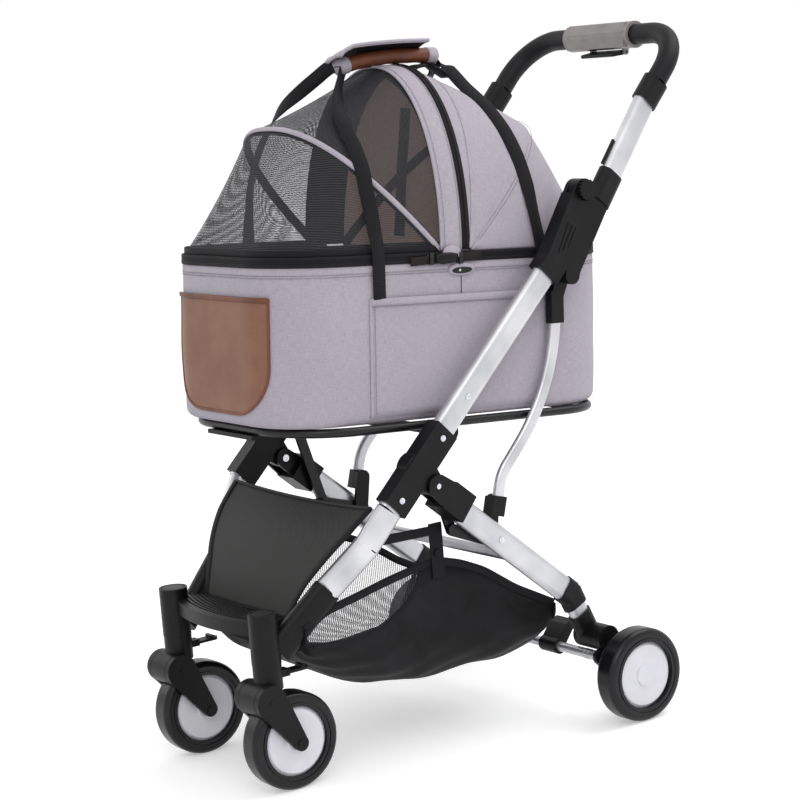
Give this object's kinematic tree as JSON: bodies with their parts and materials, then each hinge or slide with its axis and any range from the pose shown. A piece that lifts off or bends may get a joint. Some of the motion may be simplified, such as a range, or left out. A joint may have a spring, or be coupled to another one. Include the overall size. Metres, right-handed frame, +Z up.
{
  "type": "pet stroller",
  "caption": "Folding four-wheel pet stroller with a lift-off fabric carrier, mesh canopy, swivel front wheels, rear brake and a padded handlebar.",
  "frame": {"origin": "on the ground under the middle of the stroller's overall box", "axes": "+X to the stroller's left seen from the front wheels' side (its own right when pushed), -Y forward towards the front wheels, +Z up"},
  "size_m": [0.572, 0.8618, 1.028],
  "materials": {
    "tube_aluminium": "satin",
    "black_nylon": "fine satin",
    "rivet_steel": "bright",
    "black_coated_steel": "semi gloss",
    "footrest_mesh": "coarse weave",
    "basket_cloth": "soft",
    "webbing": "ribbed",
    "grip_foam": "soft matt",
    "console_grey": "satin",
    "tyre_black": "glossy",
    "disc_grey": "satin",
    "carrier_cloth": "heathered weave",
    "lining_cloth": "soft",
    "zip_black": "zip tape",
    "brown_leather": "grained",
    "canopy_net": "open net",
    "binding_black": "piping"
  },
  "bodies": {
    "frame": {"main_tubes": "tube_aluminium", "front_tubes": "tube_aluminium", "leg_blocks": "black_nylon", "hinge_housings": "black_nylon", "frame_rivets": "rivet_steel", "tray_ring": "black_coated_steel", "tray_crossbars": "black_nylon", "footplate": "black_nylon", "caster_sockets": "black_nylon", "footrest_panel": "footrest_mesh", "storage_basket": "basket_cloth", "basket_straps": "webbing"},
    "handle": {"handle_tubes": "tube_aluminium", "handle_levers": "black_nylon", "pivot_knobs": "black_nylon", "handlebar": "grip_foam", "handle_collars": "black_nylon", "console": "console_grey"},
    "latches": {"latch_slides": "black_nylon"},
    "trigger": {"release_trigger": "black_nylon"},
    "rear_legs": {"rear_tubes": "tube_aluminium", "rear_brackets": "black_nylon", "rear_cross_tube": "tube_aluminium", "rear_stubs": "tube_aluminium", "leg_collars": "black_nylon", "hub_housings": "black_nylon", "rear_rivets": "rivet_steel"},
    "rear_axle": {"axle_tube": "tube_aluminium", "suspension_arm_left": "black_nylon", "suspension_arm_right": "black_nylon"},
    "brake": {"brake_pedal": "black_nylon"},
    "rear_wheel_left": {"rear_tyre_left": "tyre_black", "rear_disc_left": "disc_grey"},
    "rear_wheel_right": {"rear_tyre_right": "tyre_black", "rear_disc_right": "disc_grey"},
    "struts": {"strut_tubes": "tube_aluminium", "strut_fittings": "black_nylon"},
    "links": {"brace_links": "black_coated_steel"},
    "plates": {"brace_plates": "black_coated_steel"},
    "carrier": {"carrier_body": "carrier_cloth", "carrier_floor": "lining_cloth", "zipper_band": "zip_black", "canopy_mesh": "canopy_net", "rear_hood": "carrier_cloth", "carry_straps": "webbing", "handle_wrap": "brown_leather", "side_buckles": "black_nylon"},
    "flap": {"pocket_flap": "brown_leather"},
    "hoop": {"canopy_hoop": "carrier_cloth"},
    "bow": {"canopy_bow": "binding_black"},
    "caster_left": {"swivel_stem_left": "black_nylon"},
    "swing_left": {"swing_fork_left": "black_nylon"},
    "front_wheel_left": {"front_tyre_left": "tyre_black", "front_disc_left": "disc_grey"},
    "lock_left": {"swivel_lock_left": "black_nylon"},
    "caster_right": {"swivel_stem_right": "black_nylon"},
    "swing_right": {"swing_fork_right": "black_nylon"},
    "front_wheel_right": {"front_tyre_right": "tyre_black", "front_disc_right": "disc_grey"},
    "lock_right": {"swivel_lock_right": "black_nylon"}
  },
  "joints": [
    {"name": "handle_fold", "type": "hinge", "parent": "frame", "child": "handle", "pos_m": [0, 0.174, 0.789], "axis": [1, 0, 0], "range_deg": [0, 64]},
    {"name": "trigger_squeeze", "type": "hinge", "parent": "handle", "child": "trigger", "pos_m": [0, 0.4238, 0.981], "axis": [1, 0, 0], "range_deg": [-12, 0], "stiffness_Nm_per_rad": 0.05, "springref_deg": 11.46},
    {"name": "latch_pull", "type": "slide", "parent": "handle", "child": "latches", "axis": [0, 0.6348, 0.7727], "range_m": [0, 0.0101]},
    {"name": "rear_leg_fold", "type": "hinge", "parent": "frame", "child": "rear_legs", "pos_m": [0, -0.133, 0.403], "axis": [1, 0, 0], "range_deg": [0, 41]},
    {"name": "strut_fold", "type": "hinge", "parent": "rear_legs", "child": "struts", "pos_m": [0, -0.0114, 0.299], "axis": [1, 0, 0], "range_deg": [-56.5, 0]},
    {"name": "brace_link_fold", "type": "hinge", "parent": "frame", "child": "links", "pos_m": [0, -0.118, 0.452], "axis": [1, 0, 0], "range_deg": [0, 27.5]},
    {"name": "brace_plate_fold", "type": "hinge", "parent": "rear_legs", "child": "plates", "pos_m": [0, -0.0114, 0.299], "axis": [1, 0, 0], "range_deg": [0, 21.5]},
    {"name": "rear_suspension", "type": "hinge", "parent": "rear_legs", "child": "rear_axle", "pos_m": [0, 0.147, 0.122], "axis": [1, 0, 0], "range_deg": [0, 6], "stiffness_Nm_per_rad": 60, "springref_deg": -8.59},
    {"name": "brake_press", "type": "hinge", "parent": "rear_axle", "child": "brake", "pos_m": [0, 0.131, 0.097], "axis": [1, 0, 0], "range_deg": [-15, 0], "stiffness_Nm_per_rad": 1, "springref_deg": 11.46},
    {"name": "rear_wheel_left_spin", "type": "hinge", "parent": "rear_axle", "child": "rear_wheel_left", "pos_m": [-0.267, 0.17, 0.07], "axis": [1, 0, 0], "continuous": true},
    {"name": "caster_left_swivel", "type": "hinge", "parent": "frame", "child": "caster_left", "pos_m": [-0.124, -0.384, 0.186], "axis": [0, 0, 1], "continuous": true},
    {"name": "swing_left_spring", "type": "hinge", "parent": "caster_left", "child": "swing_left", "pos_m": [-0.124, -0.399, 0.138], "axis": [1, 0, 0], "range_deg": [0, 4], "stiffness_Nm_per_rad": 30, "springref_deg": -5.73},
    {"name": "front_wheel_left_spin", "type": "hinge", "parent": "swing_left", "child": "front_wheel_left", "pos_m": [-0.124, -0.357, 0.07], "axis": [1, 0, 0], "continuous": true},
    {"name": "lock_left_pull", "type": "slide", "parent": "caster_left", "child": "lock_left", "axis": [0, 1, 0], "range_m": [0, 0.004]},
    {"name": "rear_wheel_right_spin", "type": "hinge", "parent": "rear_axle", "child": "rear_wheel_right", "pos_m": [0.267, 0.17, 0.07], "axis": [1, 0, 0], "continuous": true},
    {"name": "caster_right_swivel", "type": "hinge", "parent": "frame", "child": "caster_right", "pos_m": [0.124, -0.384, 0.186], "axis": [0, 0, 1], "continuous": true},
    {"name": "swing_right_spring", "type": "hinge", "parent": "caster_right", "child": "swing_right", "pos_m": [0.124, -0.399, 0.138], "axis": [1, 0, 0], "range_deg": [0, 4], "stiffness_Nm_per_rad": 30, "springref_deg": -5.73},
    {"name": "front_wheel_right_spin", "type": "hinge", "parent": "swing_right", "child": "front_wheel_right", "pos_m": [0.124, -0.357, 0.07], "axis": [1, 0, 0], "continuous": true},
    {"name": "lock_right_pull", "type": "slide", "parent": "caster_right", "child": "lock_right", "axis": [0, 1, 0], "range_m": [0, 0.004]},
    {"name": "carrier_lift", "type": "slide", "parent": "frame", "child": "carrier", "axis": [0, -0.7071, 0.7071], "range_m": [0, 0.25]},
    {"name": "flap_lift", "type": "hinge", "parent": "carrier", "child": "flap", "pos_m": [0, -0.3333, 0.7139], "axis": [1, 0, 0], "range_deg": [-120, 0]},
    {"name": "canopy_fold", "type": "hinge", "parent": "carrier", "child": "hoop", "pos_m": [0, -0.0332, 0.7223], "axis": [1, 0, 0], "range_deg": [0, 50], "deforming": ["canopy_mesh"]},
    {"name": "bow_fold", "type": "hinge", "parent": "carrier", "child": "bow", "pos_m": [0, -0.0516, 0.7298], "axis": [1, 0, 0], "range_deg": [0, 30]}
  ],
  "couplings": [
    {"joint": "latch_pull", "follows": "trigger_squeeze", "m_per_rad": -0.0477},
    {"joint": "rear_leg_fold", "follows": "handle_fold", "ratio": 0.63},
    {"joint": "strut_fold", "follows": "handle_fold", "ratio": -0.874},
    {"joint": "brace_link_fold", "follows": "handle_fold", "ratio": 0.4186},
    {"joint": "brace_plate_fold", "follows": "handle_fold", "ratio": 0.33},
    {"joint": "bow_fold", "follows": "canopy_fold", "ratio": 0.58}
  ]
}
